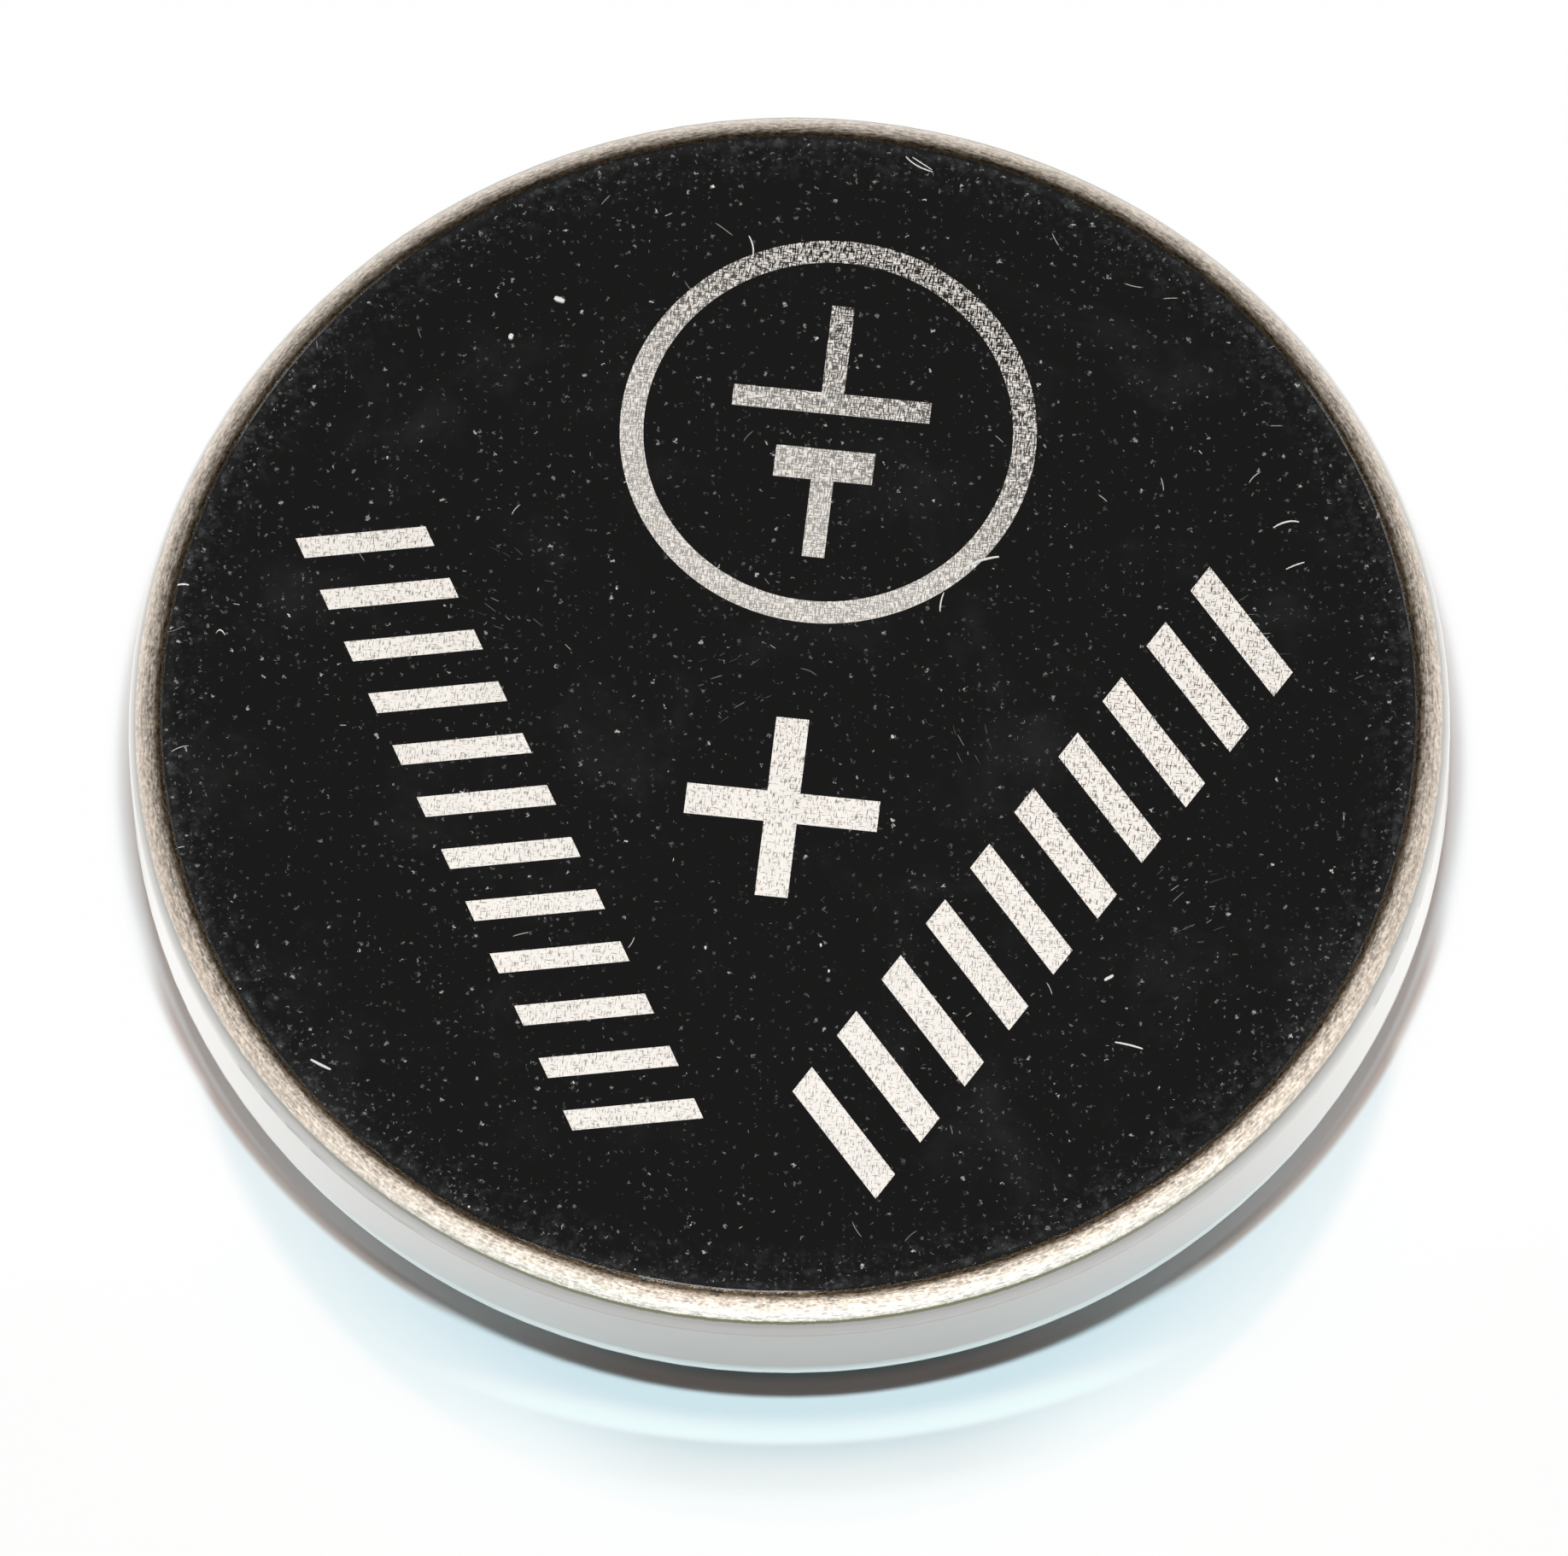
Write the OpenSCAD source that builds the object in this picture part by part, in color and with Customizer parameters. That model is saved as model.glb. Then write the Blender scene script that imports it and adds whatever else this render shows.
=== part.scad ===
// Lithium coin cell: a pressed can crimped over a gasket and a folded cap, with its electrodes inside.
// The cap's contact face lies on z = 0 and the positive face is uppermost.

/* [Cell] */
// Diameter over the can's straight wall
cell_d = 24.5; // [20:0.5:30]
// Height from the cap's contact face to the positive face
cell_h = 5.0; // [4.6:0.1:6.6]
// Clearance between curved faces that seat in each other
seat_gap = 0.01; // [0.005:0.005:0.02]

/* [Positive can] */
// Thickness of the can's steel
can_t = 0.25; // [0.2:0.01:0.3]
// Outer radius of the bend round the positive face
can_corner_r = 0.65; // [0.5:0.05:0.9]
// Height of the straight wall between that bend and the crimp
can_wall_h = 1.5; // [1:0.05:1.8]
// Outer radius of the crimp that curls the rim in under the gasket
crimp_r = 1.6; // [1.45:0.05:1.75]
// Length of the flat rim past the crimp's curl
crimp_lip_w = 0.15; // [0.05:0.05:0.3]

/* [Gasket] */
// Thickness of the gasket's wall between the can and the cap's hem
gasket_wall_t = 0.35; // [0.28:0.01:0.42]
// Thickness of the gasket's foot on the can's inner face
gasket_foot_t = 0.5; // [0.35:0.05:0.65]
// Thickness of the gasket's leg inside the cap's skirt
gasket_leg_t = 0.3; // [0.2:0.05:0.4]
// Height of that leg below the foot
gasket_leg_h = 1.0; // [0.6:0.1:1.3]
// Width of the gasket's edge that shows between the crimp and the cap
gasket_edge_w = 0.4; // [0.25:0.05:0.5]
// How far that edge stands out of the crimp
gasket_edge_proud = 0.05; // [0:0.01:0.1]
// Rounding of that edge
gasket_edge_round = 0.12; // [0.05:0.01:0.12]

/* [Negative cap] */
// Thickness of the cap's steel
cap_t = 0.25; // [0.2:0.01:0.3]
// Outer radius of the bend round the contact face
cap_corner_r = 0.7; // [0.5:0.05:0.9]
// Outer radius of the inside bend below the cap's shoulder
cap_fillet_r = 0.3; // [0.2:0.05:0.4]
// Gap between the cap's skirt and its folded-back hem
cap_fold_gap = 0.05; // [0.03:0.01:0.08]
// Length of the hem below the fold
cap_hem_h = 0.9; // [0.5:0.1:1.1]

/* [Electrodes] */
// Thickness of the lithium disc
lithium_t = 1.2; // [0.9:0.05:1.4]
// How far the lithium's edge stands in from the cap's bend
lithium_inset = 0.15; // [0.05:0.05:0.5]
// Thickness of the separator's cup
separator_t = 0.2; // [0.1:0.05:0.25]
// Clearance between the separator's cup and the cap's side
separator_gap = 0.12; // [0.05:0.01:0.2]
// Inner radius of the bend where the separator turns up round the pellet
separator_bend_r = 0.3; // [0.1:0.05:0.4]
// Clearance between the separator's upper edge and the collector
separator_edge_gap = 0.1; // [0.05:0.05:0.3]
// Thickness of the collector ring's steel
collector_t = 0.2; // [0.15:0.01:0.25]
// Width of the collector's flange against the can
collector_flange_w = 1.6; // [1:0.1:3]
// Height of the collector's leg round the pellet
collector_leg_h = 1.0; // [0.7:0.1:1.4]

/* [Hidden] */
$fn = 128;

can_steel = [0.78, 0.76, 0.73];
cap_steel = [0.70, 0.70, 0.69];
collector_steel = [0.62, 0.63, 0.64];
gasket_plastic = [0.86, 0.86, 0.80];
pellet_black = [0.13, 0.13, 0.14];
separator_white = [0.94, 0.94, 0.92];
lithium_grey = [0.72, 0.73, 0.76];

// Can: the straight wall, the bend above it and the curl of the crimp below it
can_r = cell_d / 2;
can_flat_r = can_r - can_corner_r;
can_corner_z = cell_h - can_corner_r;
can_floor_z = cell_h - can_t;
curl_r = can_r - crimp_r;
curl_z = can_corner_z - can_wall_h;
crimp_z = curl_z - crimp_r;
mouth_r = curl_r - crimp_lip_w;

// Cap: hem, fold and skirt inside the gasket's wall, then shoulder, side and contact face
hem_r = can_r - can_t - gasket_wall_t - 2 * seat_gap;
fold_r = cap_t + cap_fold_gap / 2;
fold_centre_r = hem_r - fold_r;
skirt_r = hem_r - cap_t - cap_fold_gap;
skirt_inner_r = skirt_r - cap_t;
foot_z = can_floor_z - seat_gap - gasket_foot_t;
fold_z = foot_z - seat_gap - fold_r;
hem_z = fold_z - cap_hem_h;
shoulder_r = skirt_r - curl_r;
shoulder_z = curl_z - shoulder_r;
cap_side_r = mouth_r - gasket_edge_w;
cap_flat_r = cap_side_r - cap_corner_r;

// Gasket: its skin under the can, its showing edge and its leg inside the skirt
gasket_skin = can_t + seat_gap;
gasket_edge_z = crimp_z - gasket_edge_proud;
gasket_leg_r = skirt_inner_r - seat_gap;
gasket_inner_r = gasket_leg_r - gasket_leg_t;
gasket_leg_z = foot_z - gasket_leg_h;

// Electrodes: stacked from the cap to the can, the pellet taking the height that is left
lithium_r = cap_flat_r - lithium_inset;
lithium_top_z = cap_t + lithium_t;
separator_r = cap_side_r - cap_t - separator_gap;
pellet_r = separator_r - separator_t - seat_gap;
pellet_z = lithium_top_z + separator_t;
collector_r = pellet_r + seat_gap + collector_t;
collector_inner_r = collector_r - collector_flange_w;
collector_leg_z = can_floor_z - collector_leg_h;
separator_top_z = collector_leg_z - separator_edge_gap;

// Rectangle of a half section, from one radius and height to another
module span(r0, z0, r1, z1) {
    translate([r0, z0])
        square([r1 - r0, z1 - z0]);
}

// Outward quarter of a disc, above its centre when up is 1 and below it when up is 0
module quarter(r, z, radius, up) {
    translate([r, z])
        intersection() {
            circle(radius);
            translate([0, (up - 1) * radius])
                square(radius);
        }
}

// Space inside the can's outer surface, all its faces moved inwards by inset
module can_space(inset) {
    span(0, crimp_z + inset, curl_r, cell_h - inset);
    span(0, curl_z, can_r - inset, can_corner_z);
    span(0, can_corner_z, can_flat_r, cell_h - inset);
    quarter(can_flat_r, can_corner_z, can_corner_r - inset, 1);
    quarter(curl_r, curl_z, crimp_r - inset, 0);
}

// Space above the cap's outer surface, all its faces moved inwards by inset, up to the fold
module cap_space(inset) {
    fillet_r = cap_side_r + cap_fillet_r;
    fillet_z = shoulder_z - cap_fillet_r;
    span(0, inset, cap_flat_r, fold_z);
    span(0, cap_corner_r, cap_side_r - inset, fold_z);
    quarter(cap_flat_r, cap_corner_r, cap_corner_r - inset, 0);
    difference() {
        span(0, fillet_z, fillet_r, fold_z);
        translate([fillet_r, fillet_z])
            circle(cap_fillet_r + inset);
    }
    span(0, shoulder_z + inset, curl_r, fold_z);
    span(0, curl_z, skirt_r - inset, fold_z);
    quarter(curl_r, curl_z, shoulder_r - inset, 0);
}

// Band of the gasket that shows, both its lower corners rounded
module showing_edge() {
    inner = cap_side_r + seat_gap + gasket_edge_round;
    outer = mouth_r - seat_gap - gasket_edge_round;
    round_z = gasket_edge_z + gasket_edge_round;
    span(inner, gasket_edge_z, outer, curl_z);
    span(inner - gasket_edge_round, round_z, outer + gasket_edge_round, curl_z);
    for (r = [inner, outer])
        translate([r, round_z])
            circle(gasket_edge_round);
}

// Leg inside the cap's skirt, which follows the shoulder's bend where it reaches that far down
module gasket_leg() {
    intersection() {
        span(gasket_inner_r, gasket_leg_z, gasket_leg_r, foot_z);
        union() {
            cap_space(cap_t + seat_gap);
            span(0, curl_z, can_r, foot_z);
        }
    }
}

// Space inside a cup with a rounded bottom edge, from its floor up to a height
module cup_space(floor_z, radius, bend_r, top_z) {
    span(0, floor_z, radius - bend_r, top_z);
    span(0, floor_z + bend_r, radius, top_z);
    quarter(radius - bend_r, floor_z + bend_r, bend_r, 0);
}

// Upper half of a disc at the fold
module fold_half(radius) {
    translate([fold_centre_r, fold_z])
        intersection() {
            circle(radius);
            translate([-radius, 0])
                square([2 * radius, radius]);
        }
}

// Groove that the skirt and its hem take up, with clearance all round
module skirt_groove() {
    span(skirt_inner_r - seat_gap, hem_z - seat_gap, hem_r + seat_gap, fold_z);
    fold_half(fold_r + seat_gap);
}

// Pressed steel can: positive face, straight wall and the rim curled in under the gasket
module positive_can() {
    color(can_steel)
        rotate_extrude()
            difference() {
                can_space(0);
                can_space(can_t);
                span(0, 0, mouth_r, curl_z);
            }
}

// Moulded gasket: foot in the can's corner, wall, packed curl, showing edge and inner leg
module gasket() {
    color(gasket_plastic)
        rotate_extrude() {
            difference() {
                union() {
                    can_space(gasket_skin);
                    showing_edge();
                }
                cap_space(-seat_gap);
                skirt_groove();
                span(0, curl_z, gasket_inner_r, cell_h);
            }
            gasket_leg();
        }
}

// Pressed steel cap: contact face, side, shoulder, skirt and the hem folded back outside it
module negative_cap() {
    color(cap_steel)
        rotate_extrude() {
            difference() {
                cap_space(0);
                cap_space(cap_t);
            }
            difference() {
                fold_half(fold_r);
                fold_half(cap_fold_gap / 2);
            }
            span(hem_r - cap_t, hem_z, hem_r, fold_z);
        }
}

// Pressed cathode pellet, its upper edge cut back for the collector's flange
module cathode_pellet() {
    color(pellet_black)
        rotate_extrude() {
            cup_space(pellet_z, pellet_r, separator_bend_r, can_floor_z - collector_t);
            span(0, pellet_z, collector_inner_r - seat_gap, can_floor_z);
        }
}

// Steel collector ring: a flange against the can and a leg down round the pellet
module cathode_collector() {
    color(collector_steel)
        rotate_extrude() {
            span(collector_inner_r, can_floor_z - collector_t, collector_r - collector_t, can_floor_z);
            quarter(collector_r - collector_t, can_floor_z - collector_t, collector_t, 1);
            span(collector_r - collector_t, collector_leg_z, collector_r, can_floor_z - collector_t);
        }
}

// Separator cup: a disc on the lithium with its edge turned up round the pellet
module separator() {
    color(separator_white)
        rotate_extrude()
            difference() {
                cup_space(lithium_top_z, separator_r, separator_bend_r + separator_t, separator_top_z);
                cup_space(pellet_z, separator_r - separator_t, separator_bend_r, cell_h);
            }
}

// Lithium disc pressed on the inside of the contact face
module lithium_anode() {
    color(lithium_grey)
        translate([0, 0, cap_t])
            cylinder(r = lithium_r, h = lithium_t);
}

positive_can();
gasket();
negative_cap();
cathode_pellet();
cathode_collector();
separator();
lithium_anode();
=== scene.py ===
"""Looks of a lithium coin cell: metal finishes, etched marks, dust and lint, on a pale table."""
import math

import bmesh
import bpy
from bpy.props import FloatProperty, FloatVectorProperty, IntProperty, PointerProperty
from mathutils import Matrix, Vector


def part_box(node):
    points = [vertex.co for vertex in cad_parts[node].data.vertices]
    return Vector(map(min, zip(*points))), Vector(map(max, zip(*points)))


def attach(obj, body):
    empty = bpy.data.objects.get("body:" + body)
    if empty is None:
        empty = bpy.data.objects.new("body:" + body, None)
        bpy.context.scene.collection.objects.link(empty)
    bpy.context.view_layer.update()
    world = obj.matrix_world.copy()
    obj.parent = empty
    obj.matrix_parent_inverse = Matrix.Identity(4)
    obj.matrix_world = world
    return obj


bl_info = {
    "name": "Lithium coin cell",
    "version": (1, 0, 0),
    "blender": (4, 5, 0),
    "location": "View3D > Sidebar > Coin cell",
    "description": "Finishes, etched marks and dust of a crimped lithium coin cell",
    "category": "Object",
}

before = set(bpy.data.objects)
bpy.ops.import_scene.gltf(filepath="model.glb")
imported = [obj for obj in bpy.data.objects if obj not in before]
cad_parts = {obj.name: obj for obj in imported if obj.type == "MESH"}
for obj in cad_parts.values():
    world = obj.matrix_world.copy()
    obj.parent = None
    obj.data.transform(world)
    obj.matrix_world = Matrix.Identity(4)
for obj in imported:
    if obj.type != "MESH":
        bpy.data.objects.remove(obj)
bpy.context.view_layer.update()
BODY = "root"
MM = 0.001

CAN_LOW, CAN_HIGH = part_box("positive_can")
CELL_RADIUS = CAN_HIGH.x
CELL_HEIGHT = CAN_HIGH.z
WHITE = (1.0, 1.0, 1.0)
SENSOR_WIDTH = 36


# Kinds of settings

def Length(name, description, millimetres):
    """A length."""
    return FloatProperty(name=name, description=description, default=millimetres * MM,
                         unit="LENGTH")


def Angle(name, description, degrees):
    """An angle."""
    return FloatProperty(name=name, description=description, default=math.radians(degrees),
                         subtype="ANGLE")


def Point(name, description, *millimetres):
    """A place in a plane."""
    return FloatVectorProperty(name=name, description=description, size=2, unit="LENGTH",
                               default=[part * MM for part in millimetres])


def Colour(name, description, *parts):
    """A colour, from its red, green and blue parts."""
    return FloatVectorProperty(name=name, description=description, subtype="COLOR", size=3,
                               min=0, max=1, default=parts)


class MarkSettings(bpy.types.PropertyGroup):
    """Etched marks on the positive face"""

    turn: Angle("Turn", "Turn of all the marks about the cell's axis", -8.3)
    proud: Length("Standing height", "How far a mark stands out of the face", 0.004)
    depth: Length("Depth", "How far a mark goes into the face", 0.02)
    plus_centre: Point("Plus centre", "Centre of the plus sign in the marks' own frame", 0.1, -1.97)
    plus_length: Length("Plus length", "Length of the plus sign's bars", 3.59)
    plus_width: Length("Plus width", "Width of the plus sign's bars", 0.61)
    ring_centre: Point("Ring centre", "Centre of the ring in the marks' own frame", 0.1, 5.65)
    ring_outer: Length("Ring outer radius", "Outer radius of the ring", 3.88)
    ring_inner: Length("Ring inner radius", "Inner radius of the ring", 3.44)
    symbol_height: Length(
        "Symbol height", "Height of the circuit symbol of a cell in the ring", 5.1)
    symbol_width: Length("Symbol width", "Length of the symbol's long plate", 3.7)
    symbol_stroke: Length("Symbol stroke", "Width of the symbol's leads and long plate", 0.42)
    symbol_gap: Length("Symbol gap", "Gap between the symbol's two plates", 0.72)
    row_chord: Length("Row distance", "Distance of both rows of bars from the cell's axis", 5.85)
    fine_count: IntProperty(
        name="Fine bars", description="Number of bars in the fine row on the left", default=12)
    fine_pitch: Length("Fine pitch", "Distance from bar to bar in the fine row", 1.14)
    fine_height: Length("Fine height", "Height of the fine row", 2.3)
    fine_stroke: Length("Fine stroke", "Width of a bar in the fine row", 0.43)
    bold_count: IntProperty(
        name="Bold bars", description="Number of bars in the bold row on the right", default=10)
    bold_pitch: Length("Bold pitch", "Distance from bar to bar in the bold row", 1.38)
    bold_height: Length("Bold height", "Height of the bold row", 2.5)
    bold_stroke: Length("Bold stroke", "Width of a bar in the bold row", 0.6)
    slant: Angle("Slant", "Lean of the bars in both rows", 18)


class FinishSettings(bpy.types.PropertyGroup):
    """Colours and finishes of the pieces"""

    face_colour: Colour("Face colour", "Polished steel of the positive face", 0.60, 0.61, 0.63)
    rim_colour: Colour(
        "Rim colour", "Satin nickel of the bend round the positive face", 0.93, 0.84, 0.75)
    # Painted shade: where the bend leaves the face it is painted dark brown, standing in for the dim
    # ceiling that it mirrors there.
    rim_shaded_start_colour: Colour(
        "Rim start colour", "Browner nickel where the bend leaves the face", 0.18, 0.125, 0.07)
    rim_line_colour: Colour(
        "Rim line colour", "Thin line where the satin finish of the bend ends", 0.215, 0.22, 0.13)
    wall_colour: Colour(
        "Wall colour", "Smooth nickel of the can's wall and crimp", 0.44, 0.44, 0.435)
    # Painted reflection: the wall is painted paler where the view glances along it, standing in for
    # the bright table that it mirrors there.
    wall_glance_sheen_colour: Colour(
        "Wall glance colour", "The wall's nickel where the view glances along it",
        0.96, 0.945, 0.905)
    mark_colour: Colour("Mark colour", "Etched steel of the marks", 1.0, 0.975, 0.93)
    cap_colour: Colour("Cap colour", "Matt nickel of the negative cap", 0.62, 0.60, 0.57)
    gasket_colour: Colour("Gasket colour", "Natural plastic of the gasket", 0.78, 0.78, 0.70)
    dust_colour: Colour("Dust colour", "Dust and lint on the cell", 0.90, 0.90, 0.88)
    film_colour: Colour("Film colour", "Thin greasy film on the face", 0.50, 0.60, 0.61)
    polish_past_face: Length(
        "Polish past the face", "How far the polish runs on to the bend", 0.025)
    rim_drop: Length("Rim drop", "Height from the face down to where the satin finish ends", 0.25)
    rim_line: Length("Rim line width", "Height of the thin line below the satin finish", 0.055)


class StageSettings(bpy.types.PropertyGroup):
    """Camera, lamps and table"""

    camera_distance: Length("Camera distance", "Distance from the camera to the positive face", 500)
    camera_lift: Angle("Camera elevation", "Elevation of the view above the table", 67.12)
    camera_roll: Angle("Camera roll", "Roll of the camera about its own axis", 1.98)
    camera_lens: FloatProperty(
        name="Lens", description="Focal length in millimetres on a 36 mm sensor", default=620.0)
    camera_aside: Point(
        "Camera offset", "Sideways and upwards offset of the view's centre", -0.13, -1.27)
    lamp_distance: Length("Lamp distance", "Distance from the lamps to the cell", 250)
    front_power: FloatProperty(
        name="Front lamp", description="Power of the cool lamp on the camera's side, in watts",
        default=0.50)
    front_colour: Colour(
        "Front lamp colour", "Colour of the lamp on the camera's side", 0.75, 0.90, 0.96)
    top_power: FloatProperty(
        name="Top lamp", description="Power of the long warm lamp above the cell, in watts",
        default=0.27)
    top_colour: Colour("Top lamp colour", "Colour of the long lamp above the cell", 1.0, 0.62, 0.45)
    ambient_colour: Colour(
        "Ambient light", "Even light from all round on matt surfaces", 0.065, 0.06, 0.055)
    ceiling_colour: Colour("Ceiling", "Dim ceiling that shiny surfaces mirror", 0.019, 0.018, 0.017)
    table_colour: Colour("Table colour", "Colour of the table", 0.95, 0.95, 0.95)
    # Painted light: close to the cell the table takes the bluish colour of the cool lamp, which
    # alone lights it where the warm lamp is shaded.
    table_cool_light_tint: Colour("Table tint", "Colour of the table close to the cell", 0.86, 0.93, 0.95)


def settings(name):
    """One of the setting groups of the current scene."""
    return getattr(bpy.context.scene, name)


# Node helpers. Each puts its node into the tree that one of its values comes from.

def tree_of(*values):
    """Node tree of the first socket among the values."""
    return next(value.id_data for value in values if isinstance(value, bpy.types.NodeSocket))


def fill_socket(socket, value):
    """Link a socket from another one, or set its own value."""
    if isinstance(value, bpy.types.NodeSocket):
        socket.id_data.links.new(value, socket)
    else:
        socket.default_value = value


def source_node(tree, kind, **options):
    """New node with its options set."""
    node = tree.nodes.new(kind)
    for name, value in options.items():
        setattr(node, name, value)
    return node


def add_node(kind, inputs, **options):
    """New node with its options set and its inputs filled from values or linked from sockets."""
    node = source_node(tree_of(*inputs.values()), kind, **options)
    for key, value in inputs.items():
        fill_socket(node.inputs[key], value)
    return node


def maths(operation, *values, clamp=False):
    """Output of a Math node."""
    return add_node("ShaderNodeMath", dict(enumerate(values)), operation=operation,
                    use_clamp=clamp).outputs[0]


def chain(operation, values, clamp=False):
    """Math nodes of one operation after each other, over all the values."""
    result = values[0]
    for value in values[1:]:
        result = maths(operation, result, value, clamp=clamp)
    return result


def product(*values):
    """All the values multiplied with each other."""
    return chain("MULTIPLY", values)


def total(*values, clamp=False):
    """All the values added up. With clamp no sum goes below 0 or above 1."""
    return chain("ADD", values, clamp)


def less(first, second):
    """The first value less the second."""
    return maths("SUBTRACT", first, second)


def highest(*values):
    """The highest of the values."""
    return chain("MAXIMUM", values)


def opposite(value):
    """One less the value."""
    return less(1.0, value)


def vector_maths(operation, *values):
    """Vector output of a Vector Math node."""
    return add_node("ShaderNodeVectorMath", dict(enumerate(values)), operation=operation).outputs[0]


def scaled(vector, factor):
    """Vector times a number."""
    return add_node("ShaderNodeVectorMath", {0: vector, "Scale": factor},
                    operation="SCALE").outputs[0]


def distance(place, centre=(0.0, 0.0, 0.0)):
    """Distance from a place to a centre."""
    node = add_node("ShaderNodeVectorMath", {0: place, 1: centre}, operation="DISTANCE")
    return node.outputs["Value"]


def combine(x, y, z):
    """Vector from three numbers."""
    return add_node("ShaderNodeCombineXYZ", {"X": x, "Y": y, "Z": z}).outputs[0]


def split(vector):
    """The three numbers of a vector."""
    return add_node("ShaderNodeSeparateXYZ", {"Vector": vector}).outputs


def flat_place(place):
    """Place brought down to the level of the origin, and its height."""
    x, y, height = split(place)
    return combine(x, y, 0.0), height


def map_range(value, low, high, to_low=0.0, to_high=1.0):
    """Value mapped smoothly from one range to another, and held at its ends."""
    inputs = {"Value": value, "From Min": low, "From Max": high, "To Min": to_low, "To Max": to_high}
    return add_node("ShaderNodeMapRange", inputs, interpolation_type="SMOOTHSTEP").outputs[0]


def ramps(*slopes):
    """Product of smooth ramps. Each is a value, the two places where it starts and ends, and
    its levels there unless they are 0 and 1."""
    return product(*(map_range(*slope) for slope in slopes))


def mix_colours(factor, first, second):
    """Colour between two others."""
    inputs = {0: factor}
    for key, value in ((6, first), (7, second)):
        linked = isinstance(value, bpy.types.NodeSocket)
        inputs[key] = value if linked else (*value[:3], 1.0)
    return add_node("ShaderNodeMix", inputs, data_type="RGBA").outputs[2]


def mix_values(factor, first, second):
    """Number between two others."""
    inputs = {0: factor, 2: first, 3: second}
    return add_node("ShaderNodeMix", inputs, data_type="FLOAT").outputs[0]


def noise(place, size, detail=3.0, roughness=0.6):
    """Noise from 0 to 1 with lumps of one size."""
    return add_node("ShaderNodeTexNoise", {"Vector": place, "Scale": 1 / size, "Detail": detail,
                                           "Roughness": roughness}).outputs[0]


def new_group(name, inputs, outputs):
    """Empty shader node group. Returns the sockets that it reads from and those that it fills."""
    tree = bpy.data.node_groups.new(name, "ShaderNodeTree")
    for label, default in inputs.items():
        kind = "NodeSocketVector" if default is None else "NodeSocketFloat"
        socket = tree.interface.new_socket(label, in_out="INPUT", socket_type=kind)
        if default is not None:
            socket.default_value = default
    for label in outputs:
        tree.interface.new_socket(label, in_out="OUTPUT", socket_type="NodeSocketFloat")
    return tree.nodes.new("NodeGroupInput").outputs, tree.nodes.new("NodeGroupOutput").inputs


def use_group(name, **inputs):
    """Outputs of a shared group, placed in the tree of its inputs."""
    node = source_node(tree_of(*inputs.values()), "ShaderNodeGroup",
                       node_tree=bpy.data.node_groups[name])
    for key, value in inputs.items():
        fill_socket(node.inputs[key], value)
    return node.outputs


def mask_of(name, place, **inputs):
    """Mask of a shared group at a place."""
    return use_group(name, Place=place, **inputs)["Mask"]


# Shared effects, each a node group. Places and sizes in them are in millimetres.

def scattered_cells(inputs, place):
    """Cells round scattered points in the plane of the face, with the place counted in cells."""
    even = combine(inputs["Spacing"], inputs["Spacing"], 1.0)
    counted = vector_maths("DIVIDE", place, even)
    moved = vector_maths("ADD", counted, combine(inputs["Seed"], inputs["Seed"], 0.0))
    cells = add_node("ShaderNodeTexVoronoi", {"Vector": moved, "Scale": 1.0},
                     voronoi_dimensions="2D")
    chances = add_node("ShaderNodeSeparateColor", {"Color": cells.outputs["Color"]}).outputs
    return moved, cells.outputs, chances


def make_specks_group():
    """Soft uneven specks of mixed size and strength, scattered over an upward face."""
    inputs, ends = new_group(
        "Dust specks",
        {"Place": None, "Spacing": 0.5, "Size": 0.03, "Share": 0.5, "Seed": 0.0}, ["Mask"])
    wobble = add_node("ShaderNodeTexNoise",
                      {"Vector": inputs["Place"], "Scale": 16.0, "Detail": 1.0}).outputs["Color"]
    shift = scaled(vector_maths("SUBTRACT", wobble, (0.5, 0.5, 0.5)), 0.16)
    shaken = vector_maths("ADD", inputs["Place"], shift)
    _, cells, chances = scattered_cells(inputs, shaken)
    size = product(inputs["Size"], maths("MULTIPLY_ADD", chances[1], 0.75, 0.25))
    away = product(cells["Distance"], inputs["Spacing"])
    speck = map_range(away, size, product(size, 0.15))
    chosen = maths("LESS_THAN", chances[0], inputs["Share"])
    strength = maths("MULTIPLY_ADD", product(chances[2], chances[2]), 0.80, 0.20)
    fill_socket(ends["Mask"], product(speck, chosen, strength))


def make_hairs_group():
    """Short straight or bowed lines, one to a scattered cell, turned about one direction."""
    inputs, ends = new_group(
        "Hair scratches",
        {"Place": None, "Spacing": 1.0, "Length": 0.4, "Width": 0.012, "Turn": 0.0,
         "Spread": 2 * math.pi, "Bow": 0.6, "Share": 0.5, "Seed": 0.0}, ["Mask"])
    moved, cells, chances = scattered_cells(inputs, inputs["Place"])
    offset = split(scaled(vector_maths("SUBTRACT", moved, cells["Position"]), inputs["Spacing"]))
    swing = product(less(chances[0], 0.5), inputs["Spread"])
    angle = total(inputs["Turn"], swing)
    cosine, sine = maths("COSINE", angle), maths("SINE", angle)
    along = total(product(offset[0], cosine), product(offset[1], sine))
    across = less(product(offset[1], cosine), product(offset[0], sine))
    bow = product(less(chances[2], 0.5), inputs["Bow"])
    bowed = less(across, product(bow, along, along))
    reach = product(inputs["Length"], maths("MULTIPLY_ADD", chances[1], 0.4, 0.1))
    line = map_range(maths("ABSOLUTE", bowed), inputs["Width"], product(inputs["Width"], 0.3))
    tips = map_range(maths("ABSOLUTE", along), reach, product(reach, 0.6))
    # The first chance also turns the line, so its later digits choose which lines there are
    chance = maths("FRACT", product(chances[0], 57.0))
    chosen = maths("LESS_THAN", chance, inputs["Share"])
    strength = maths("MULTIPLY_ADD", chances[2], 0.7, 0.3)
    fill_socket(ends["Mask"], product(line, tips, chosen, strength))


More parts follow.
